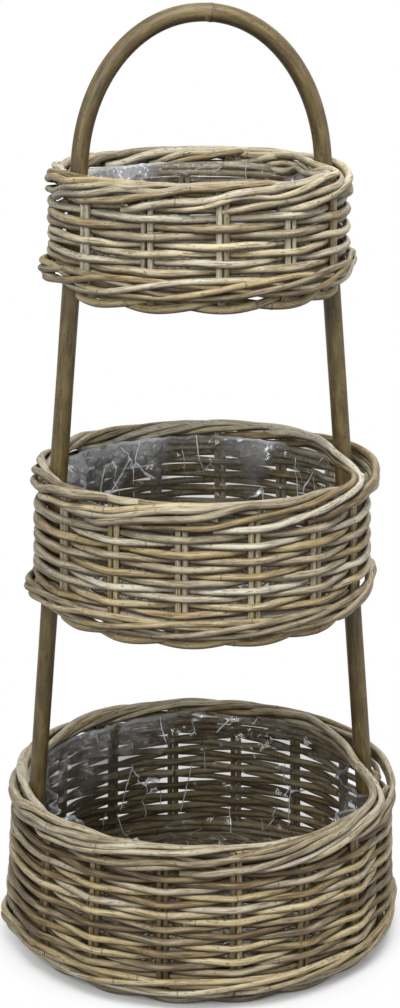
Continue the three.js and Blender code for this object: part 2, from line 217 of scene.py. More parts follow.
# Rattan's finish; a range reads: from, to, result at from, result at to
SHADE_BY_TONE = 0.7
SHADE_BY_SLOW = 0.5
SHADE_BY_FIBRES = 1.2
SHADE_BY_SCUFFS = 1.1
SHADE_LOWERED = 1.15
GREY_BY_TONE = 0.7
GREY_BY_SCUFFS = 0.9
GREY_FROM = 1.05
GREY_TO = 1.4
# Paler and greyer higher up, darker lower down: partly the rattan's own fading, partly painted shade
FADE_AND_SHADE_HEIGHTS = (0.0, 0.6)
# Painted light: the strands nearest the floor lighter, as if lit from the floor
FOOT_PAINTED_LIGHT_RANGE = (0.01, 0.03, 0.25, 0.0)
SPECK_RANGE = (0.6, 0.68, 0.0, 0.7)
STREAK_RANGE = (0.53, 0.64, 0.0, 0.7)
DARK_RING_RANGE = (0.3 * MM, 1.5 * MM, 0.6, 0.0)
# Painted shade: strands darker where their surface faces down
UNDERSIDE_SHADE_RANGE = (-0.75, 0.1, 0.72, 0.0)
# Painted shade in the crevices between strands, found by ambient occlusion
CREVICE_REACH = 8 * MM
CREVICE_SAMPLES = 8
CREVICE_SHADE_RANGE = (0.3, 0.8, 0.85, 0.0)
ROUGH_BY_FIBRES = (0.3, 0.7)
ROUGH_SPREAD = 0.1
RATTAN_SPECULAR = 0.5
RATTAN_BUMP = (0.5, 0.6 * MM)
BUMP_BY_SCUFFS = 0.7

# The film's finish, with ranges as above; each noise is its scale and its detail
FILM_STRETCH = 0.35
FILM_ROUGHNESS = 0.1
FILM_IOR = 1.65
FILM_ALPHA_RANGE = (0.0, 0.9, 0.195, 0.88)
FILM_BUMP = (0.5, 2.0 * MM)
FILM_BUMP_NOISE = (28.0, 2.0)
# Painted sheen together with the film's haze: milkier on the left, near the edge and higher up, less on
# the floor
HAZE_AND_SHEEN_NOISE = (9.0, 3.0)
HAZE_AND_SHEEN_LEFT_RANGE = (-0.16, 0.06, 0.26, 0.0)
HAZE_AND_SHEEN_EDGE_RANGE = (0.4, 0.95, 0.0, 0.1)
HAZE_AND_SHEEN_RANGE = (0.54, 0.84, 0.0, 0.56)
HAZE_AND_SHEEN_HEIGHT_RANGE = (0.2, 0.4, 0.78, 1.15)
HAZE_AND_SHEEN_FLOOR_RANGE = (0.1, 0.4, 0.2, 1.0)
# Painted highlights: a bright line along the film's edge, and bright broken lines along creases, each
# its scale, width and strength
EDGE_HIGHLIGHT_RANGE = (0.955, 0.985, 0.0, 0.3)
CRUMPLED_NOISE = (6.0, 1.0)
CRUMPLED_RANGE = (0.38, 0.5)
CREASE_HIGHLIGHTS = ((11.0, 0.012, 1.0), (19.0, 0.016, 0.9))
CREASE_HIGHLIGHT_BREAKS = 1.5
CREASE_HIGHLIGHT_BROKEN_RANGE = (0.48, 0.54)

# The nails' finish
NAIL_WEAR_NOISE = (900.0, 3.0)
NAIL_ROUGH_RANGE = (0.3, 0.7, 0.3, 0.5)

# Studio; each lamp is its name, place, watts and size
SOFT_LIGHT = 0.12
FLOOR_HALF = 40.0
FLOOR_GREY_AS_LIGHT = 0.4
FLOOR_GREY_AS_SEEN = 0.86
FLOOR_PLAIN_RANGE = (0.19, 0.26)
LAMP_TARGET = Vector((0, 0, 0.5))
LAMPS = (
    ("key_lamp", (-1.6, -2.2, 1.8), 42, 1.2),
    ("fill_lamp", (2.2, -1.8, 1.6), 14, 1.6),
    ("top_lamp", (0.1, -1.2, 3.0), 72, 1.6),
    ("back_lamp", (0.9, 2.4, 2.0), 24, 1.6),
)


def smooth(share):
    """Eases from 0 to 1 as share goes from 0 to 1."""
    share = min(max(share, 0.0), 1.0)
    return share * share * (3 - 2 * share)


def signed_turn(angle):
    """The angle between -half a turn and half a turn."""
    return (angle + math.pi) % FULL_TURN - math.pi


def from_nearest_leg(angle):
    return min(abs(signed_turn(angle - leg)) for leg in LEG_ANGLES)


def leg_radius(height):
    share = height / SPRING_HEIGHT
    return LEG_RADIUS_AT_FLOOR + (LEG_RADIUS_AT_SPRING - LEG_RADIUS_AT_FLOOR) * share


def at(angle, radius, height):
    return Vector((radius * math.cos(angle), radius * math.sin(angle), height))


def waver(place, row, size):
    """Slow unevenness of hand work, between about -size and size."""
    return size * noise.noise(Vector((place, row, 0.37)))


def waver_round(angle, bends, row, size):
    """Unevenness along a strand round the basket, the same again after a full turn."""
    return waver(bends * math.cos(angle), row + bends * math.sin(angle), size)


def add_object(name, data):
    made = bpy.data.objects.new(name, data)
    bpy.context.scene.collection.objects.link(made)
    return made


class Basket:
    """One basket's sizes. Its zones from the top down are rim, rows, wale and foot."""

    def __init__(self, name, foot, height, flare, cad_strand, pairs, pair_step, pair_middle, row_strand,
                 rim_zone, rim_rods, row_count, wale_zone, foot_zone, lean, slot_lift,
                 left_profile, right_loop):
        self.name = name
        self.foot = foot * MM
        self.height = height * MM
        self.flare = flare * MM
        self.stake_inset = cad_strand * MM + STAKE_RADIUS
        self.strand = row_strand * MM / 2
        self.pairs = pairs
        self.pair_step = math.radians(pair_step)
        self.pair_middle = math.radians(pair_middle)
        self.rim_rods = rim_rods
        self.row_count = row_count
        self.rim_half = rim_zone * MM / 2
        self.wale_half = wale_zone * MM / 2
        self.foot_half = foot_zone * MM / 2
        self.lean = lean * MM
        self.slot_lift = slot_lift * MM
        self.left_profile = [(above * MM, out * MM) for above, out in left_profile]
        self.right_loop = right_loop * MM
        self.top = self.foot + self.height
        self.rim_middle = self.top - self.rim_half
        self.rows_top = self.top - 2 * self.rim_half
        self.foot_middle = self.foot + self.foot_half
        self.wale_middle = self.foot + 2 * self.foot_half + self.wale_half
        self.rows_bottom = self.wale_middle + self.wale_half
        self.wall_at_foot = leg_radius(self.foot) + POLE_RADIUS + CAD_FIT + cad_strand * MM
        self.base_level = self.foot + BASE_ABOVE_FOOT
        self.floor_level = self.foot + FILM_ABOVE_FOOT
        self.stations = self.find_stations()
        self.pair_angles = [angle for angle, is_leg, number in self.stations if not is_leg]

    def find_stations(self):
        """What a row meets on its way round, in order: (angle, is a leg, number of the pair)."""
        pairs = []
        for middle in (self.pair_middle, self.pair_middle + math.pi):
            for pair in range(self.pairs):
                angle = middle + (pair - (self.pairs - 1) / 2) * self.pair_step
                pairs.append(angle % FULL_TURN)
        stations = [(leg, True, 0) for leg in LEG_ANGLES]
        stations += [(angle, False, number) for number, angle in enumerate(sorted(pairs))]
        return sorted(stations)

    def stake_radius(self, level):
        wall = self.wall_at_foot - self.flare * (level - self.foot) / self.height
        below_wale = (self.wale_middle - level) / (self.wale_middle - self.foot)
        return wall - self.stake_inset - FOOT_DRAWN_IN * smooth(below_wale)

    def swell(self, angle, level):
        """How far the wall stands out on its left, by its height above the foot."""
        above = level - self.foot
        out = self.left_profile[0][1]
        for (low, low_out), (high, high_out) in zip(self.left_profile, self.left_profile[1:]):
            if above > low:
                out = low_out + (high_out - low_out) * smooth((above - low) / (high - low))
        return out * smooth(math.cos(angle - SWELL_TURN))

    def leaning(self, angle, level):
        """How much higher the back of the wall stands than drawn, and the front lower."""
        return self.lean * math.sin(angle) * ((level - self.foot) / self.height) ** 2

    def neighbours(self, angle):
        """The stations before and after an angle, the gap between them and how much of it is passed."""
        angles = [station[0] for station in self.stations]
        after = bisect.bisect_right(angles, angle % FULL_TURN) % len(angles)
        first = self.stations[after - 1]
        second = self.stations[after]
        gap = (second[0] - first[0]) % FULL_TURN
        return first, second, gap, (angle - first[0]) % FULL_TURN

    def pairs_passed(self, angle):
        """How many pairs of stakes a strand has passed at an angle, with the share of the next gap."""
        pairs = self.pair_angles
        after = bisect.bisect_right(pairs, angle % FULL_TURN) % len(pairs)
        gap = (pairs[after] - pairs[after - 1]) % FULL_TURN
        passed = (angle - pairs[after - 1]) % FULL_TURN
        return after - 1 + passed / gap


# Bundles of strands, swept into tubes by Geometry Nodes


class Bundle:
    """Centrelines of one piece's strands, with what the finish reads along them."""

    def __init__(self):
        self.points = []
        self.edges = []
        self.thickness = []
        self.along = []
        self.tone = []
        self.ring = []


def lay_strand(bundle, place, start, end, radius, tone, chance, ring_gap=RING_GAP, first_ring=None):
    """Adds a strand along place(t) from start to end, with growth rings at uneven distances."""
    steps = [start + (end - start) * i / GUIDE_STEPS for i in range(GUIDE_STEPS + 1)]
    guide = [place(t) for t in steps]
    lengths = [0.0]
    for before, after in zip(guide, guide[1:]):
        lengths.append(lengths[-1] + (after - before).length)
    total = lengths[-1]
    rings = []
    next_ring = first_ring or chance.uniform(RING_FROM_START, ring_gap[1])
    while next_ring < total:
        rings.append(next_ring)
        next_ring += chance.uniform(*ring_gap)
    count = max(2, math.ceil(total / STRAND_STEP))
    marks = [total * i / count for i in range(count + 1)]
    for ring in rings:
        marks += [ring + offset for offset in RING_POINTS if 0 < ring + offset < total]
    marks.sort()
    phase = chance.uniform(0, GIRTH_PHASES)
    first = len(bundle.points)
    for mark in marks:
        i = min(bisect.bisect_right(lengths, mark), GUIDE_STEPS)
        span = lengths[i] - lengths[i - 1]
        share = (mark - lengths[i - 1]) / span if span > 0 else 0.0
        point = place(steps[i - 1] + (steps[i] - steps[i - 1]) * share)
        nearest = min((mark - ring for ring in rings), key=abs, default=RING_REACH)
        nearest = min(max(nearest, -RING_REACH), RING_REACH)
        girth = 1 + RING_SWELL * math.exp(-((nearest / RING_WIDTH) ** 2))
        girth += waver(GIRTH_BENDS_PER_METRE * mark, phase, GIRTH_WAVER)
        bundle.points.append(point)
        bundle.thickness.append(radius * girth)
        bundle.along.append(mark)
        bundle.tone.append(tone)
        bundle.ring.append(nearest)
    last = len(bundle.points) - 1
    bundle.edges += [(i, i + 1) for i in range(first, last)]


def make_strand_sweep():
    """Tree that turns centrelines into round strands; the profile's place is kept as 'around'."""
    tree = bpy.data.node_groups.new("strand_sweep", "GeometryNodeTree")
    sockets = tree.interface
    sockets.new_socket("Centrelines", in_out="INPUT", socket_type="NodeSocketGeometry")
    sides = sockets.new_socket("Sides", in_out="INPUT", socket_type="NodeSocketInt")
    finish = sockets.new_socket("Finish", in_out="INPUT", socket_type="NodeSocketMaterial")
    sockets.new_socket("Strands", in_out="OUTPUT", socket_type="NodeSocketGeometry")
    given = tree.nodes.new("NodeGroupInput")
    made = tree.nodes.new("NodeGroupOutput")
    paths = tree.nodes.new("GeometryNodeMeshToCurve")
    circle = tree.nodes.new("GeometryNodeCurvePrimitiveCircle")
    circle.inputs["Radius"].default_value = 1.0
    keep = tree.nodes.new("GeometryNodeStoreNamedAttribute")
    keep.data_type = "FLOAT_VECTOR"
    keep.domain = "POINT"
    keep.inputs["Name"].default_value = "around"
    where = tree.nodes.new("GeometryNodeInputPosition")
    thickness = tree.nodes.new("GeometryNodeInputNamedAttribute")
    thickness.data_type = "FLOAT"
    thickness.inputs["Name"].default_value = "thickness"
    sweep = tree.nodes.new("GeometryNodeCurveToMesh")
    sweep.inputs["Fill Caps"].default_value = True
    corners = tree.nodes.new("GeometryNodeInputMeshFaceNeighbors")
    is_end = tree.nodes.new("FunctionNodeCompare")
    is_end.data_type = "INT"
    is_end.operation = "GREATER_THAN"
    corner_limit = [socket for socket in is_end.inputs if socket.type == "INT"]
    corner_limit[1].default_value = SIDE_FACE_CORNERS
    flat_ends = tree.nodes.new("GeometryNodeSetShadeSmooth")
    flat_ends.inputs["Shade Smooth"].default_value = False
    real = tree.nodes.new("GeometryNodeRealizeInstances")
    paint = tree.nodes.new("GeometryNodeSetMaterial")
    tree.links.new(corners.outputs["Vertex Count"], corner_limit[0])
    for source, output, target, socket in (
            (given, "Centrelines", paths, "Mesh"), (given, "Sides", circle, "Resolution"),
            (circle, "Curve", keep, "Geometry"), (where, "Position", keep, "Value"),
            (paths, "Curve", sweep, "Curve"), (keep, "Geometry", sweep, "Profile Curve"),
            (thickness, "Attribute", sweep, "Scale"), (sweep, "Mesh", flat_ends, "Geometry"),
            (is_end, "Result", flat_ends, "Selection"), (flat_ends, "Geometry", real, "Geometry"),
            (real, "Geometry", paint, "Geometry"), (given, "Finish", paint, "Material"),
            (paint, "Geometry", made, "Strands")):
        tree.links.new(source.outputs[output], target.inputs[socket])
    return tree, sides.identifier, finish.identifier


strand_sweep, sides_input, finish_input = make_strand_sweep()


def sweep_strands(name, bundle, finish, sides):
    """The bundle as one plain mesh of round strands."""
    paths = bpy.data.meshes.new(name + "_centrelines")
    paths.from_pydata(bundle.points, bundle.edges, [])
    for attribute in ("thickness", "along", "tone", "ring"):
        layer = paths.attributes.new(attribute, "FLOAT", "POINT")
        layer.data.foreach_set("value", getattr(bundle, attribute))
    carrier = add_object(name + "_centrelines", paths)
    modifier = carrier.modifiers.new("sweep", "NODES")
    modifier.node_group = strand_sweep
    modifier[sides_input] = sides
    modifier[finish_input] = finish
    depsgraph = bpy.context.evaluated_depsgraph_get()
    mesh = bpy.data.meshes.new_from_object(
        carrier.evaluated_get(depsgraph), preserve_all_data_layers=True, depsgraph=depsgraph)
    mesh.name = name
    carrier.modifiers.remove(modifier)
    bpy.data.objects.remove(carrier)
    bpy.data.meshes.remove(paths)
    return add_object(name, mesh)


# Finishes


def linear(red, green, blue):
    """Colour given as 0 to 255 on screen, in the linear values that shaders use."""
    def decode(value):
        value /= 255
        return value / 12.92 if value <= 0.04045 else ((value + 0.055) / 1.055) ** 2.4
    return (decode(red), decode(green), decode(blue), 1.0)


class Recipe:
    """Builds one material's nodes; a number or an output may be given for any input."""

    def __init__(self, name):
        self.material = bpy.data.materials.new(name)
        self.material.use_nodes = True
        self.tree = self.material.node_tree
        self.shader = self.tree.nodes["Principled BSDF"]

    def feed(self, socket, value):
        if isinstance(value, bpy.types.NodeSocket):
            self.tree.links.new(value, socket)
        else:
            socket.default_value = value

    def node(self, kind, **settings):
        node = self.tree.nodes.new(kind)
        for key, value in settings.items():
            setattr(node, key, value)
        return node

    def attribute(self, name):
        return self.node("ShaderNodeAttribute", attribute_name=name)

    def wire(self, kind, *given, **settings):
        """Outputs of a new node whose first inputs are fed."""
        node = self.node(kind, **settings)
        for socket, value in zip(node.inputs, given):
            self.feed(socket, value)
        return node.outputs

    def math(self, operation, first, second=0.0, clamp=False):
        return self.wire("ShaderNodeMath", first, second, operation=operation, use_clamp=clamp)[0]

    def weigh(self, *parts):
        """Sum of values, each times its weight."""
        total = 0.0
        for value, weight in parts:
            total = self.math("ADD", self.math("MULTIPLY", value, weight), total)
        return total

    def between(self, value, low, high, to_low=0.0, to_high=1.0):
        """Value taken from the range low to high onto to_low to to_high, held at the ends."""
        return self.wire("ShaderNodeMapRange", value, low, high, to_low, to_high,
                         interpolation_type="SMOOTHSTEP")[0]

    def noise(self, place, scale, detail=2.0, roughness=0.5):
        node = self.node("ShaderNodeTexNoise")
        self.feed(node.inputs["Vector"], place)
        node.inputs["Scale"].default_value = scale
        node.inputs["Detail"].default_value = detail
        node.inputs["Roughness"].default_value = roughness
        return node.outputs["Fac"]

    def ramp(self, value, stops):
        node = self.node("ShaderNodeValToRGB")
        elements = node.color_ramp.elements
        while len(elements) < len(stops):
            elements.new(0.5)
        for element, (position, colour) in zip(elements, stops):
            element.position = position
            element.color = colour
        self.feed(node.inputs["Fac"], value)
        return node.outputs["Color"]

    def mix(self, share, first, second):
        node = self.node("ShaderNodeMix", data_type="RGBA")
        colours = [socket for socket in node.inputs if socket.type == "RGBA"]
        self.feed(node.inputs["Factor"], share)
        self.feed(colours[0], first)
        self.feed(colours[1], second)
        return [socket for socket in node.outputs if socket.type == "RGBA"][0]

    def shade(self, name, value):
        """Sets or links one of the shader's own inputs."""
        self.feed(self.shader.inputs[name], value)

    def bump(self, height, strength, distance):
        node = self.node("ShaderNodeBump")
        node.inputs["Strength"].default_value = strength
        node.inputs["Distance"].default_value = distance
        self.feed(node.inputs["Height"], height)
        self.shade("Normal", node.outputs["Normal"])


def rattan_finish(name, warm, grey, grey_share, fade_and_shade, rough):
    """Weathered rattan: tone of the strand, grey scuffs, lengthwise fibres, growth rings and specks,
    paler higher up; painted shade under the strands, in crevices and lower down, and painted light at
    the foot.
    """
    recipe = Recipe(name)
    tone = recipe.attribute("tone").outputs["Fac"]
    along = recipe.attribute("along").outputs["Fac"]
    ring = recipe.attribute("ring").outputs["Fac"]
    around = recipe.attribute("around").outputs["Vector"]
    shifted = recipe.math("MULTIPLY", tone, TONE_SHIFT)

    def grain(changes, scale, detail, roughness):
        rise = recipe.math("ADD", recipe.math("MULTIPLY", along, changes), shifted)
        rise = recipe.wire("ShaderNodeCombineXYZ", 0.0, 0.0, rise)[0]
        place = recipe.wire("ShaderNodeVectorMath", around, rise, operation="ADD")[0]
        return recipe.noise(place, scale, detail, roughness)

    slowly = recipe.math("MULTIPLY", along, SLOW_CHANGES)
    slow = recipe.noise(recipe.wire("ShaderNodeCombineXYZ", slowly, shifted, 0.0)[0], 1.0)
    fibres = grain(*FIBRES)
    scuffs = grain(*SCUFFS)
    specks = recipe.between(grain(*SPECKS), *SPECK_RANGE)
    streaks = recipe.between(grain(*STREAKS), *STREAK_RANGE)
    own_tone = recipe.math("FRACT", recipe.math("MULTIPLY", tone, TONE_SPREAD))
    texture = recipe.node("ShaderNodeTexCoord")
    height = recipe.wire("ShaderNodeSeparateXYZ", texture.outputs["Object"])["Z"]
    facing_up = recipe.wire("ShaderNodeSeparateXYZ", texture.outputs["Normal"])["Z"]
    # Paler higher up and darker lower down, partly painted shade, plus painted light on the strands
    # nearest the floor
    fade_and_painted_light = recipe.math("ADD", recipe.between(height, *FADE_AND_SHADE_HEIGHTS, *fade_and_shade),
                           recipe.between(height, *FOOT_PAINTED_LIGHT_RANGE))
    shade = recipe.weigh((own_tone, SHADE_BY_TONE), (slow, SHADE_BY_SLOW), (fibres, SHADE_BY_FIBRES),
                         (scuffs, SHADE_BY_SCUFFS))
    shade = recipe.math("ADD", recipe.math("SUBTRACT", shade, SHADE_LOWERED), fade_and_painted_light)
    weathered = recipe.weigh((tone, GREY_BY_TONE), (scuffs, GREY_BY_SCUFFS))
    weathered = recipe.math("ADD", weathered, fade_and_painted_light)
    weathered = recipe.between(weathered, GREY_FROM - grey_share, GREY_TO - grey_share)
    colour = recipe.mix(weathered, recipe.ramp(shade, warm), recipe.ramp(shade, grey))
    colour = recipe.mix(recipe.math("MAXIMUM", streaks, specks), colour, DARK_RING)
    dark_ring = recipe.between(recipe.math("ABSOLUTE", ring), *DARK_RING_RANGE)
    colour = recipe.mix(dark_ring, colour, DARK_RING)
    # Painted shade: darker where ambient occlusion finds crevices between strands of the same piece
    crevice = recipe.node("ShaderNodeAmbientOcclusion", samples=CREVICE_SAMPLES, only_local=True)
    crevice.inputs["Distance"].default_value = CREVICE_REACH
    crevice_shade = recipe.between(crevice.outputs["AO"], *CREVICE_SHADE_RANGE)
    # Painted shade on the lower side of each strand, as if lit from above
    underside_shade = recipe.between(facing_up, *UNDERSIDE_SHADE_RANGE)
    colour = recipe.mix(recipe.math("MAXIMUM", underside_shade, crevice_shade), colour, PAINTED_SHADE_COLOUR)
    recipe.shade("Base Color", colour)
    recipe.shade("Roughness", recipe.between(
        fibres, *ROUGH_BY_FIBRES, rough - ROUGH_SPREAD, rough + ROUGH_SPREAD))
    recipe.shade("Specular IOR Level", RATTAN_SPECULAR)
    recipe.bump(recipe.weigh((fibres, 1.0), (scuffs, BUMP_BY_SCUFFS)), *RATTAN_BUMP)
    return recipe.material


def film_finish():
    """Thin clear film, smoky and glossy, hazy in places with painted sheen, and painted highlights along
    broken creases and its edge.
    """
    recipe = Recipe("liner_film")
    place = recipe.node("ShaderNodeTexCoord").outputs["Object"]
    stretch = (1.0, 1.0, FILM_STRETCH)
    upward = recipe.wire("ShaderNodeVectorMath", place, stretch, operation="MULTIPLY")[0]
    axes = recipe.wire("ShaderNodeSeparateXYZ", place)
    rise = recipe.attribute("rise").outputs["Fac"]
    # Haze with painted sheen, placed by position, height and noise
    haze_and_sheen_spread = recipe.math("ADD", recipe.between(axes["X"], *HAZE_AND_SHEEN_LEFT_RANGE),
                         recipe.between(rise, *HAZE_AND_SHEEN_EDGE_RANGE))
    haze_and_sheen_spread = recipe.math("ADD", haze_and_sheen_spread, recipe.noise(upward, *HAZE_AND_SHEEN_NOISE))
    haze_and_sheen = recipe.math("MULTIPLY", recipe.between(haze_and_sheen_spread, *HAZE_AND_SHEEN_RANGE),
                        recipe.between(axes["Z"], *HAZE_AND_SHEEN_HEIGHT_RANGE))
    haze_and_sheen = recipe.math("MULTIPLY", haze_and_sheen, recipe.between(rise, *HAZE_AND_SHEEN_FLOOR_RANGE))
    crumpled = recipe.between(recipe.noise(place, *CRUMPLED_NOISE), *CRUMPLED_RANGE)
    # Painted highlights along the film's edge and its creases
    crease_highlights = recipe.between(rise, *EDGE_HIGHLIGHT_RANGE)
    for scale, width, strength in CREASE_HIGHLIGHTS:
        edges = recipe.node("ShaderNodeTexVoronoi", feature="DISTANCE_TO_EDGE")
        edges.inputs["Scale"].default_value = scale
        recipe.feed(edges.inputs["Vector"], upward)
        line = recipe.between(edges.outputs["Distance"], 0.0, width, strength, 0.0)
        broken = recipe.between(recipe.noise(place, CREASE_HIGHLIGHT_BREAKS * scale, 0.0), *CREASE_HIGHLIGHT_BROKEN_RANGE)
        line = recipe.math("MULTIPLY", recipe.math("MULTIPLY", line, broken), crumpled)
        crease_highlights = recipe.math("MAXIMUM", crease_highlights, line)
    bright = recipe.math("ADD", haze_and_sheen, crease_highlights, clamp=True)
    recipe.shade("Alpha", recipe.between(bright, *FILM_ALPHA_RANGE))
    recipe.shade("Base Color", recipe.mix(
        recipe.math("MULTIPLY", bright, bright), SMOKY_FILM, WHITE_HAZE_AND_HIGHLIGHTS))
    recipe.shade("Roughness", FILM_ROUGHNESS)
    recipe.shade("IOR", FILM_IOR)
    recipe.bump(recipe.noise(upward, *FILM_BUMP_NOISE), *FILM_BUMP)
    return recipe.material


def nail_finish():
    recipe = Recipe("nail_steel")
    place = recipe.node("ShaderNodeTexCoord").outputs["Object"]
    wear = recipe.noise(place, *NAIL_WEAR_NOISE)
    recipe.shade("Base Color", recipe.ramp(wear, NAIL_STEEL))
    recipe.shade("Roughness", recipe.between(wear, *NAIL_ROUGH_RANGE))
    recipe.shade("Metallic", 1.0)
    return recipe.material


DARK_RING = linear(70, 54, 36)
# Colour of the painted shade under strands and in their crevices
PAINTED_SHADE_COLOUR = linear(40, 31, 20)
WARM_STRAND = [(0.05, linear(66, 50, 26)), (0.35, linear(142, 121, 80)), (0.6, linear(176, 157, 114)),
               (0.9, linear(200, 185, 147))]
GREY_STRAND = [(0.05, linear(74, 63, 44)), (0.35, linear(147, 134, 106)), (0.6, linear(177, 167, 142)),
               (0.9, linear(206, 199, 178))]
PALE_STAKE = [(0.1, linear(110, 92, 60)), (0.4, linear(158, 138, 100)), (0.7, linear(192, 174, 136)),
              (0.95, linear(222, 208, 176))]
OLIVE_POLE = [(0.1, linear(68, 56, 28)), (0.4, linear(99, 84, 47)), (0.7, linear(124, 108, 67)),
              (0.95, linear(152, 138, 98))]
NAIL_STEEL = [(0.3, linear(112, 108, 100)), (0.7, linear(168, 165, 158))]
SMOKY_FILM = linear(100, 90, 71)
# White of the film's haze, its painted sheen and its painted highlights
WHITE_HAZE_AND_HIGHLIGHTS = linear(238, 245, 255)
weave_finish = rattan_finish(
    "rattan_weave", WARM_STRAND, GREY_STRAND, grey_share=0.42, fade_and_shade=(-0.2, 0.08), rough=0.55)
border_finish = rattan_finish(
    "rattan_border", WARM_STRAND, GREY_STRAND, grey_share=0.5, fade_and_shade=(0.06, -0.01), rough=0.55)
# The stakes are much darker lower down: painted shade where they stand behind the rows
stake_finish = rattan_finish(
    "rattan_stakes", PALE_STAKE, GREY_STRAND, grey_share=0.3, fade_and_shade=(-0.34, 0.14), rough=0.5)
pole_finish = rattan_finish(
    "cane_pole", OLIVE_POLE, GREY_STRAND, grey_share=-0.35, fade_and_shade=(0.0, 0.0), rough=0.48)
film = film_finish()
steel = nail_finish()


# The pole


def pole_points():
    """Centreline of the pole from the left leg's end over the arch to the right leg's end."""
    def bezier(a, b, c, d, t):
        s = 1 - t
        return a * s ** 3 + b * (3 * s * s * t) + c * (3 * s * t * t) + d * t ** 3

    end = Vector((leg_radius(LEG_END_HEIGHT), 0, LEG_END_HEIGHT))
    spring = Vector((LEG_RADIUS_AT_SPRING, 0, SPRING_HEIGHT))
    top = Vector((0, 0, ARCH_TOP - POLE_RADIUS))
    from_spring = spring + (spring - end).normalized() * (ARCH_ROUNDNESS * (top.z - spring.z))
    to_top = Vector((ARCH_ROUNDNESS * LEG_RADIUS_AT_SPRING, 0, top.z))
    right = [end.lerp(spring, i / LEG_STEPS) for i in range(LEG_STEPS)]
    right += [bezier(spring, from_spring, to_top, top, i / ARCH_STEPS) for i in range(ARCH_STEPS + 1)]
    left = [Vector((-p.x, p.y, p.z)) for p in right]
    return left + right[-2::-1]


def make_pole():
    points = pole_points()

    def place(t):
        i = min(int(t), len(points) - 2)
        return points[i].lerp(points[i + 1], t - i)

    length = sum((after - before).length for before, after in zip(points, points[1:]))
    first_ring = (length / 2 + POLE_RING_PAST_CROWN) % POLE_RING_GAP
    bundle = Bundle()
    chance = random.Random("cane hoop")
    lay_strand(bundle, place, 0, len(points) - 1, CANE_RADIUS, CANE_TONE, chance,
               (POLE_RING_GAP, POLE_RING_GAP), first_ring)
    return sweep_strands("cane_hoop", bundle, pole_finish, POLE_SIDES)


# The baskets


def clear_of_leg(out, angle, height, strand):
    """Distance from the axis, pushed out where a strand would run into a leg."""
    clear = POLE_RADIUS + TOUCH + strand
    sideways = leg_radius(height) * from_nearest_leg(angle)
    return max(out, leg_radius(height) + clear * (1 - smooth(sideways / clear / LEG_BULGE_REACH)))


def row_swing(basket, parity, angle):
    """Side of the stakes a row lies on: 1 outside at a pair or a leg, -1 inside at a pair, 0 halfway."""
    first, second, gap, passed = basket.neighbours(angle)
    sides = [1 if is_leg or (number + parity) % 2 == 0 else -1
             for turn, is_leg, number in (first, second)]
    is_first_nearer = passed < gap / 2
    side = sides[0] if is_first_nearer else sides[1]
    if sides[0] == sides[1]:
        return side
    hold = WEAVE_HOLD / basket.stake_radius(basket.rows_bottom)
    away = passed if is_first_nearer else gap - passed
    share = max(away - hold, 0.0) / (gap / 2 - hold)
    return side * (1 - share) ** WEAVE_SLACK


def make_wall(basket):
    """Level rows, each a strand that starts and ends behind a pair; more rows inside the borders."""
    bundle = Bundle()
    chance = random.Random(basket.name + " wall")
    pitch = (basket.rows_top - basket.rows_bottom) / basket.row_count
    rows_behind_rim = int((2 * basket.rim_half - RIM_FOLD_RADIUS - 2 * RIM_ROD_RADIUS) / pitch)
    rows_behind_wale = int(2 * basket.wale_half / pitch)
    for row in range(-rows_behind_wale, basket.row_count + rows_behind_rim):
        level = basket.rows_bottom + (row + 0.5) * pitch + chance.uniform(-ROW_UNEVEN, ROW_UNEVEN)
        parity = row % 2
        is_behind_border = row < 0 or row >= basket.row_count
        hidden = [angle for angle, is_leg, number in basket.stations
                  if not is_leg and (number + parity) % 2 == 1]
        start = chance.choice(hidden)
        gap = END_GAP / basket.stake_radius(level)
        strand = basket.strand * chance.uniform(*ROW_GIRTH)

        def place(angle):
            swing = -1.0 if is_behind_border else row_swing(basket, parity, angle)
            height = level + waver_round(angle, ROW_WAVER_BENDS, row, ROW_WAVER)
            height += basket.leaning(angle, level)
            out = basket.stake_radius(height) + basket.swell(angle, level) + swing * WEAVE_SWING
            return at(angle, clear_of_leg(out, angle, height, basket.strand), height)

        lay_strand(bundle, place, start + gap, start + FULL_TURN - gap, strand, chance.random(), chance)
    return sweep_strands(basket.name + "_wall_weave", bundle, weave_finish, STRAND_SIDES)


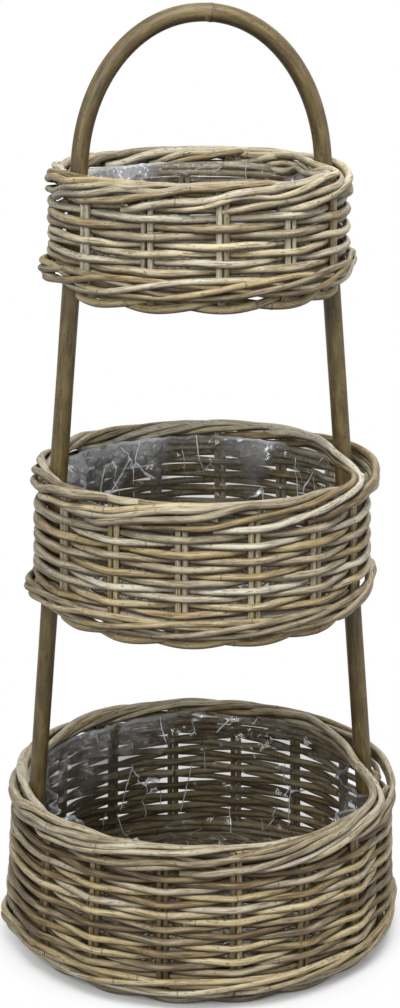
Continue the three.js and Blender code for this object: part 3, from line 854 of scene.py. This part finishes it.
def make_rim(basket):
    """Rods laid side by side up the outer face, over the stake ends and down inside, round the legs."""
    bundle = Bundle()
    chance = random.Random(basket.name + " rim")
    middle = basket.stake_radius(basket.rim_middle) + RIM_SET_OUT
    bottom = basket.rows_top + RIM_ROD_RADIUS
    face = 2 * (basket.rim_half - RIM_ROD_RADIUS) - RIM_FOLD_RADIUS
    whole = face + math.pi * RIM_FOLD_RADIUS + RIM_INNER_DROP
    spread = FULL_TURN / basket.rim_rods
    climb = RIM_ROD_SPACING / spread
    for rod in range(basket.rim_rods):
        start = (rod + chance.uniform(-RIM_ROD_SHIFT, RIM_ROD_SHIFT)) * spread
        first = chance.uniform(*RIM_ROD_FIRST)
        last = whole + chance.uniform(*RIM_ROD_LAST)
        end = start + (last - first) / climb
        radius = RIM_ROD_RADIUS * chance.uniform(*RIM_ROD_GIRTH)
        right_leg = FULL_TURN * math.ceil(start / FULL_TURN)
        risen_at_leg = first + climb * (right_leg - start)
        is_led_inside = face + RIM_FOLD_RADIUS * math.pi / 2 < risen_at_leg < last
        if is_led_inside:
            end = right_leg + SLOT_PAST_LEG * chance.uniform(*SLOT_END)

        def place(angle):
            risen = first + climb * (angle - start)
            if is_led_inside and angle > right_leg:
                risen = risen_at_leg + SLOT_CLIMB * climb * (angle - right_leg)
            risen += waver_round(angle, RIM_WAVER_UP_BENDS, 7 * rod, RIM_WAVER_UP)
            turn = min(max(risen - face, 0.0) / RIM_FOLD_RADIUS, math.pi)
            dropped = max(risen - face - math.pi * RIM_FOLD_RADIUS, 0.0)
            height = bottom + min(risen, face) + RIM_FOLD_RADIUS * math.sin(turn) - dropped
            height += basket.leaning(angle, basket.top)
            out = middle + basket.swell(angle, basket.top) + RIM_FOLD_RADIUS * math.cos(turn)
            out += waver_round(angle, RIM_WAVER_OUT_BENDS, 11 * rod, RIM_WAVER_OUT)
            out -= RIM_TUCK * smooth(1 - (angle - start) / RIM_TUCK_TURN)
            out += RIM_TUCK * smooth(1 - (end - angle) / RIM_TUCK_TURN)
            if not is_led_inside:
                out += basket.right_loop * smooth(1 - abs(signed_turn(angle)) / LOOP_TURN)
                return at(angle, clear_of_leg(out, angle, height, radius), height)
            slot = SLOT_PAST_LEG if angle > right_leg else SLOT_BEFORE_LEG
            led_in = smooth(SLOT_HOLD * (1 - abs(angle - right_leg) / slot))
            height += basket.slot_lift * led_in
            beside_leg = leg_radius(height) - POLE_RADIUS - TOUCH - radius
            return at(angle, out + (beside_leg - out) * led_in, height)

        lay_strand(bundle, place, start, end, radius, chance.random(), chance)
    return sweep_strands(basket.name + "_rim_border", bundle, border_finish, BORDER_SIDES)


def make_wale(basket):
    """Strands laid round each other outside the stakes, in front of the legs."""
    bundle = Bundle()
    chance = random.Random(basket.name + " wale")
    strand = WALE_STRAND_RADIUS
    up = basket.wale_half - strand
    set_out = STAKE_CLEARANCE + WALE_REACH_ACROSS + strand
    for number in range(WALE_STRANDS):
        start = chance.uniform(0, FULL_TURN)
        end = start + FULL_TURN - WALE_END_GAP / basket.wall_at_foot
        turn = FULL_TURN * number / WALE_STRANDS - WALE_FIRST_TWIST

        def place(angle):
            lay = WALE_TWISTS * angle + turn
            lay += waver_round(angle, WALE_WAVER_BENDS, turn, WALE_WAVER)
            height = basket.wale_middle + up * math.sin(lay)
            out = basket.stake_radius(height) + basket.swell(angle, height) + set_out
            out += WALE_REACH_ACROSS * math.cos(lay)
            out += WALE_BULGE_AT_LEG * smooth(1 - from_nearest_leg(angle) / WALE_BULGE_TURN)
            from_end = min(angle - start, end - angle)
            out -= WALE_END_TUCK * smooth(1 - from_end / WALE_END_TURN)
            return at(angle, clear_of_leg(out, angle, height, strand), height)

        lay_strand(bundle, place, start, end, strand, chance.uniform(*WALE_TONES), chance)
    return sweep_strands(basket.name + "_foot_wale", bundle, border_finish, BORDER_SIDES)


def make_foot(basket):
    """Two strands twined round each other, under one peg and behind the next, led inside the legs."""
    bundle = Bundle()
    chance = random.Random(basket.name + " foot")
    strand = basket.strand
    stakes = basket.stake_radius(basket.foot_middle)
    swing = (PEG_RADIUS + strand) / 2
    up = basket.foot_half - strand
    inner = leg_radius(basket.foot_middle + basket.foot_half) - POLE_RADIUS - TOUCH - strand
    for number in range(FOOT_STRANDS):
        def place(angle):
            lay = math.pi * (basket.pairs_passed(angle) + number)
            out = stakes + FOOT_SET_OUT - swing + swing * math.cos(lay) + strand * math.sin(lay)
            out += basket.swell(angle, basket.foot_middle)
            led_in = smooth((FOOT_LED_IN_FROM - from_nearest_leg(angle)) / FOOT_LED_IN_OVER)
            out += (inner - out) * led_in
            return at(angle, out, basket.foot_middle - up * math.cos(lay))

        start = basket.pair_angles[1 + number] + FOOT_START_PAST_PAIR
        end = start + FULL_TURN - FOOT_END_GAP
        lay_strand(bundle, place, start, end, strand, chance.random(), chance)
    return sweep_strands(basket.name + "_foot_weave", bundle, weave_finish, STRAND_SIDES)


def make_stakes(basket):
    """Stakes in pairs up to the rim, their pegs below the wale, and the sticks under the base."""
    bundle = Bundle()
    chance = random.Random(basket.name + " stakes")
    low = basket.wale_middle - basket.wale_half
    high = basket.top - 2 * RIM_ROD_RADIUS - STAKE_BELOW_RODS
    peg_end = basket.foot + 2 * basket.strand - PEG_INTO_FOOT
    stick_start = BASE_EYE_RADIUS - STICK_INTO_EYE
    stick_end = basket.stake_radius(basket.base_level) - PEG_RADIUS
    eye_half = BASE_EYE_RADIUS - EYE_STICK_SHORTER
    for angle in basket.pair_angles:
        for side in (-0.5, 0.5):
            def up_stake(level):
                radius = basket.stake_radius(level) + basket.swell(angle, level)
                height = level + basket.leaning(angle, level)
                return at(angle + side * STAKE_APART / radius, radius, height)

            lay_strand(bundle, up_stake, low, high, STAKE_RADIUS, chance.random(), chance)

        def down_peg(level):
            return at(angle, basket.stake_radius(level) + basket.swell(angle, level), level)

        lay_strand(bundle, down_peg, peg_end, low - TOUCH, PEG_RADIUS, chance.random(), chance)

        def along_stick(radius):
            return at(angle, radius, basket.base_level)

        lay_strand(bundle, along_stick, stick_start, stick_end, STICK_RADIUS, chance.random(), chance)
    for layer, turn in ((-0.5, 0.0), (0.5, math.pi / 2)):
        level = basket.base_level + layer * 2 * STICK_RADIUS
        for number in range(EYE_STICKS):
            aside = (number - (EYE_STICKS - 1) / 2) * EYE_STICK_STEP

            def across_eye(reach):
                x = reach * math.cos(turn) - aside * math.sin(turn)
                y = reach * math.sin(turn) + aside * math.cos(turn)
                return Vector((x, y, level))

            lay_strand(bundle, across_eye, -eye_half, eye_half, EYE_STICK_RADIUS,
                       chance.random(), chance)
    return sweep_strands(basket.name + "_upright_stakes", bundle, stake_finish, STRAND_SIDES)


def make_base(basket):
    """Rings woven over and under the base sticks; the last lies further out, with gaps at the legs."""
    bundle = Bundle()
    chance = random.Random(basket.name + " base")
    widest = leg_radius(basket.base_level + BASE_TOP) - POLE_RADIUS - BASE_CLEAR_OF_LEG
    rings = int((widest - BASE_EYE_RADIUS) / BASE_RING_STEP)
    swing = STICK_RADIUS + BASE_STRAND_RADIUS
    for ring in range(rings + 2):
        radius = BASE_EYE_RADIUS + ring * (widest - BASE_EYE_RADIUS) / rings

        def place(angle):
            lay = math.pi * (basket.pairs_passed(angle) + ring)
            return at(angle, radius, basket.base_level + swing * math.cos(lay))

        start = chance.uniform(0, FULL_TURN)
        spans = [(start, start + FULL_TURN - END_GAP / radius)]
        if ring > rings:
            spans = [(leg + BASE_GAP_AT_LEG, leg + math.pi - BASE_GAP_AT_LEG) for leg in LEG_ANGLES]
        for first, last in spans:
            lay_strand(bundle, place, first, last, BASE_STRAND_RADIUS, chance.random(), chance)
    return sweep_strands(basket.name + "_woven_base", bundle, weave_finish, STRAND_SIDES)


def film_wall_radius(basket, angle, level):
    """Where the film lies against the rows, drawn in round the legs."""
    wall = basket.stake_radius(level) - STAKE_CLEARANCE - 2 * basket.strand - FILM_CLEARANCE
    inside_leg = leg_radius(level) - POLE_RADIUS - 2 * FILM_CLEARANCE
    share = smooth((FILM_LED_IN_FROM - from_nearest_leg(angle)) / FILM_LED_IN_OVER)
    return wall + (min(inside_leg, wall) - wall) * share


def film_edge(basket, angle, shift):
    """Height of the film's edge at an angle, and how loose it is there: 0 tucked in, 1 free."""
    flap_place = Vector((FLAP_BENDS * math.cos(angle) + shift, FLAP_BENDS * math.sin(angle), 0))
    flap = smooth((noise.noise(flap_place) - FLAP_FROM) / FLAP_OVER)
    peak = waver(EDGE_PEAK_BENDS * math.cos(angle) + shift, EDGE_PEAK_BENDS * math.sin(angle),
                 EDGE_PEAK + FLAP_PEAK * flap)
    free = smooth((from_nearest_leg(angle) - EDGE_FREE_FROM) / EDGE_FREE_OVER)
    low_edge = basket.top - EDGE_BELOW_RIM + basket.leaning(angle, basket.top)
    return low_edge + (EDGE_RISE + FLAP_RISE * flap + peak) * free, 1 - free * (1 - flap)


def make_film(basket):
    """A crumpled film cup: floor on the woven base, wall against the rows, edge under the rim."""
    chance = random.Random(basket.name + " film")
    shift = chance.uniform(0, FILM_PLACES)
    points = []
    faces = []
    rings = []
    floor = basket.floor_level
    corner = floor + CORNER_UP

    def crumple(point, share):
        total = 0.0
        for number, (scale, upright, depth) in enumerate(FILM_FOLDS):
            place = Vector((point.x, point.y, point.z * upright)) * scale
            place += Vector((shift, FILM_FOLDS_APART * number, 0))
            total += 2 * depth * abs(noise.noise(place))
        return share * total

    def shaken_angle(i):
        return FULL_TURN * (i + chance.uniform(-FILM_SHAKE_ROUND, FILM_SHAKE_ROUND)) / FILM_AROUND

    def add_ring(row):
        rings.append(len(points))
        points.extend(row)

    def join(lower, upper):
        for i in range(FILM_AROUND):
            j = (i + 1) % FILM_AROUND
            quad = (lower + i, lower + j, upper + j, upper + i)
            if chance.random() < 0.5:
                faces.append((quad[0], quad[1], quad[2]))
                faces.append((quad[0], quad[2], quad[3]))
            else:
                faces.append((quad[0], quad[1], quad[3]))
                faces.append((quad[1], quad[2], quad[3]))

    for ring in range(1, FILM_RINGS + 1):
        share = ring / FILM_RINGS
        row = []
        for i in range(FILM_AROUND):
            angle = shaken_angle(i)
            reach = film_wall_radius(basket, angle, corner) - CORNER_IN
            point = at(angle, reach * share, floor)
            point.z += crumple(point, FLOOR_FOLDS) + CORNER_CURL * share ** CORNER_CURL_POWER
            row.append(point)
        add_ring(row)
    edges = [film_edge(basket, FULL_TURN * i / FILM_AROUND, shift) for i in range(FILM_AROUND)]
    for up in range(1, FILM_UP + 1):
        share = up / FILM_UP
        row = []
        for i, (edge, loose) in enumerate(edges):
            angle = shaken_angle(i)
            level = corner + (edge - corner) * share
            if up < FILM_UP:
                level += chance.uniform(-FILM_SHAKE_UP, FILM_SHAKE_UP)
            radius = film_wall_radius(basket, angle, level)
            fold = crumple(at(angle, radius, level), WALL_FOLDS + WALL_FOLDS_MORE_UP * share)
            tucked = smooth(1 - (1 - share) / EDGE_TUCK_SHARE) * (1 - loose)
            row.append(at(angle, radius - fold * (1 - tucked) + EDGE_TUCK * tucked, level))
        add_ring(row)
    for lower, upper in zip(rings, rings[1:]):
        join(lower, upper)
    middle = len(points)
    points.append(Vector((0, 0, floor)))
    for i in range(FILM_AROUND):
        faces.append((middle, rings[0] + (i + 1) % FILM_AROUND, rings[0] + i))
    mesh = bpy.data.meshes.new(basket.name + "_film_liner")
    mesh.from_pydata(points, [], faces)
    mesh.materials.append(film)
    rise = mesh.attributes.new("rise", "FLOAT", "POINT")
    floor_rise = [0.0] * (FILM_AROUND * FILM_RINGS)
    wall_rise = [up / FILM_UP for up in range(1, FILM_UP + 1) for i in range(FILM_AROUND)]
    rise.data.foreach_set("value", floor_rise + wall_rise + [0.0])
    piece = add_object(basket.name + "_film_liner", mesh)
    shell = piece.modifiers.new("film_shell", "SOLIDIFY")
    shell.thickness = FILM_THICKNESS
    shell.offset = 0.0
    area = sum(polygon.area for polygon in mesh.polygons)
    return piece, area


def settle(piece, slot, *nodes):
    """The piece rides with the stand and stands for these CAD nodes; slot is not used."""
    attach(piece, "root")
    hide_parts(*nodes)


# Sizes in millimetres and degrees
BASKETS = [
    Basket("bottom", foot=0, height=193, flare=5, cad_strand=7.8,
           pairs=7, pair_step=21.6, pair_middle=-90, row_strand=8.3, row_count=16,
           rim_zone=36, rim_rods=20, wale_zone=24, foot_zone=14, lean=5, slot_lift=12,
           left_profile=[(0, 0), (24, 2), (50, 6), (100, 3), (160, 1)], right_loop=3),
    Basket("middle", foot=395, height=163, flare=4, cad_strand=7.2,
           pairs=6, pair_step=24.8, pair_middle=-94.5, row_strand=8.9, row_count=11,
           rim_zone=36, rim_rods=18, wale_zone=23, foot_zone=14, lean=1.5, slot_lift=12,
           left_profile=[(0, 0)], right_loop=10),
    Basket("top", foot=746, height=137, flare=3, cad_strand=6.8,
           pairs=5, pair_step=29.5, pair_middle=-92, row_strand=9.0, row_count=7,
           rim_zone=33.5, rim_rods=16, wale_zone=25, foot_zone=16, lean=0, slot_lift=2,
           left_profile=[(0, 7)], right_loop=0),
]

settle(make_pole(), "cane_pole", "hoop_pole")
for basket in BASKETS:
    name = basket.name
    settle(make_wall(basket), "rattan_weave", f"{name}_weaver_1", f"{name}_weaver_2")
    settle(make_stakes(basket), "rattan_stakes", f"{name}_stakes")
    settle(make_base(basket), "rattan_weave", f"{name}_base_mat")
    settle(make_foot(basket), "rattan_weave", f"{name}_foot_row_1", f"{name}_foot_row_2")
    settle(make_rim(basket), "rattan_border", *[f"{name}_rim_rod_{i}" for i in range(1, 7)])
    settle(make_wale(basket), "rattan_border", f"{name}_wale_rod_1", f"{name}_wale_rod_2")
    liner, liner_area = make_film(basket)
    settle(liner, "liner_film", f"{name}_liner")
    for side in ("left", "right"):
        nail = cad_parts[f"{name}_{side}_nail"]
        nail.material_slots[0].material = steel


# Studio


def make_camera():
    data = bpy.data.cameras.new("photo_camera")
    data.lens = CAMERA_LENS
    camera = add_object("photo_camera", data)
    camera.location = (-CAMERA_DISTANCE * math.sin(CAMERA_AZIMUTH),
                       -CAMERA_DISTANCE * math.cos(CAMERA_AZIMUTH), CAMERA_HEIGHT)
    camera.rotation_euler = (math.pi / 2 - CAMERA_PITCH, 0, CAMERA_TURN_LEFT - CAMERA_AZIMUTH)
    bpy.context.scene.camera = camera


def seen_directly(tree):
    """1 for rays that show the background itself, in the picture, in gloss or through film."""
    path = tree.nodes.new("ShaderNodeLightPath")
    total = path.outputs["Is Camera Ray"]
    for name in ("Is Glossy Ray", "Is Transmission Ray"):
        either = tree.nodes.new("ShaderNodeMath")
        either.operation = "MAXIMUM"
        tree.links.new(total, either.inputs[0])
        tree.links.new(path.outputs[name], either.inputs[1])
        total = either.outputs[0]
    return total


def make_world():
    """Plain white where it is seen, and a weak soft light where it only lights the stand."""
    world = bpy.data.worlds.new("studio")
    world.use_nodes = True
    bpy.context.scene.world = world
    tree = world.node_tree
    soft = tree.nodes["Background"]
    white = tree.nodes.new("ShaderNodeBackground")
    for background, strength in ((soft, SOFT_LIGHT), (white, 1.0)):
        background.inputs["Color"].default_value = (1, 1, 1, 1)
        background.inputs["Strength"].default_value = strength
    blend = tree.nodes.new("ShaderNodeMixShader")
    tree.links.new(seen_directly(tree), blend.inputs[0])
    tree.links.new(soft.outputs[0], blend.inputs[1])
    tree.links.new(white.outputs[0], blend.inputs[2])
    tree.links.new(blend.outputs[0], tree.nodes["World Output"].inputs["Surface"])


def make_floor():
    """White sweep of floor; it shows the object's shadow close by and is plain white further out."""
    corners = [(x * FLOOR_HALF, y * FLOOR_HALF, 0) for x, y in ((-1, -1), (1, -1), (1, 1), (-1, 1))]
    mesh = bpy.data.meshes.new("studio_floor")
    mesh.from_pydata(corners, [], [(0, 1, 2, 3)])
    recipe = Recipe("studio_floor")
    tree = recipe.tree
    as_light = (FLOOR_GREY_AS_LIGHT, FLOOR_GREY_AS_LIGHT, FLOOR_GREY_AS_LIGHT, 1)
    as_seen = (FLOOR_GREY_AS_SEEN, FLOOR_GREY_AS_SEEN, FLOOR_GREY_AS_SEEN, 1)
    recipe.shade("Base Color", recipe.mix(seen_directly(tree), as_light, as_seen))
    recipe.shade("Roughness", 1.0)
    recipe.shade("Specular IOR Level", 0.0)
    place = recipe.node("ShaderNodeTexCoord").outputs["Object"]
    away = recipe.wire("ShaderNodeVectorMath", place, operation="LENGTH")["Value"]
    plain = recipe.math("MULTIPLY", seen_directly(tree), recipe.between(away, *FLOOR_PLAIN_RANGE))
    white = recipe.wire("ShaderNodeEmission", (1, 1, 1, 1), 1.0)[0]
    blend = recipe.wire("ShaderNodeMixShader", plain, recipe.shader.outputs[0], white)[0]
    recipe.feed(tree.nodes["Material Output"].inputs["Surface"], blend)
    mesh.materials.append(recipe.material)
    floor = add_object("studio_floor", mesh)


def make_lamp(name, location, watts, size):
    """Square soft lamp that faces the middle of the stand."""
    data = bpy.data.lights.new(name, "AREA")
    data.energy = watts
    data.size = size
    lamp = add_object(name, data)
    lamp.location = location
    toward = LAMP_TARGET - Vector(location)
    lamp.rotation_euler = toward.to_track_quat("-Z", "Y").to_euler()


make_camera()
make_world()
make_floor()
for lamp in LAMPS:
    make_lamp(*lamp)
bpy.context.scene.view_settings.view_transform = "Standard"
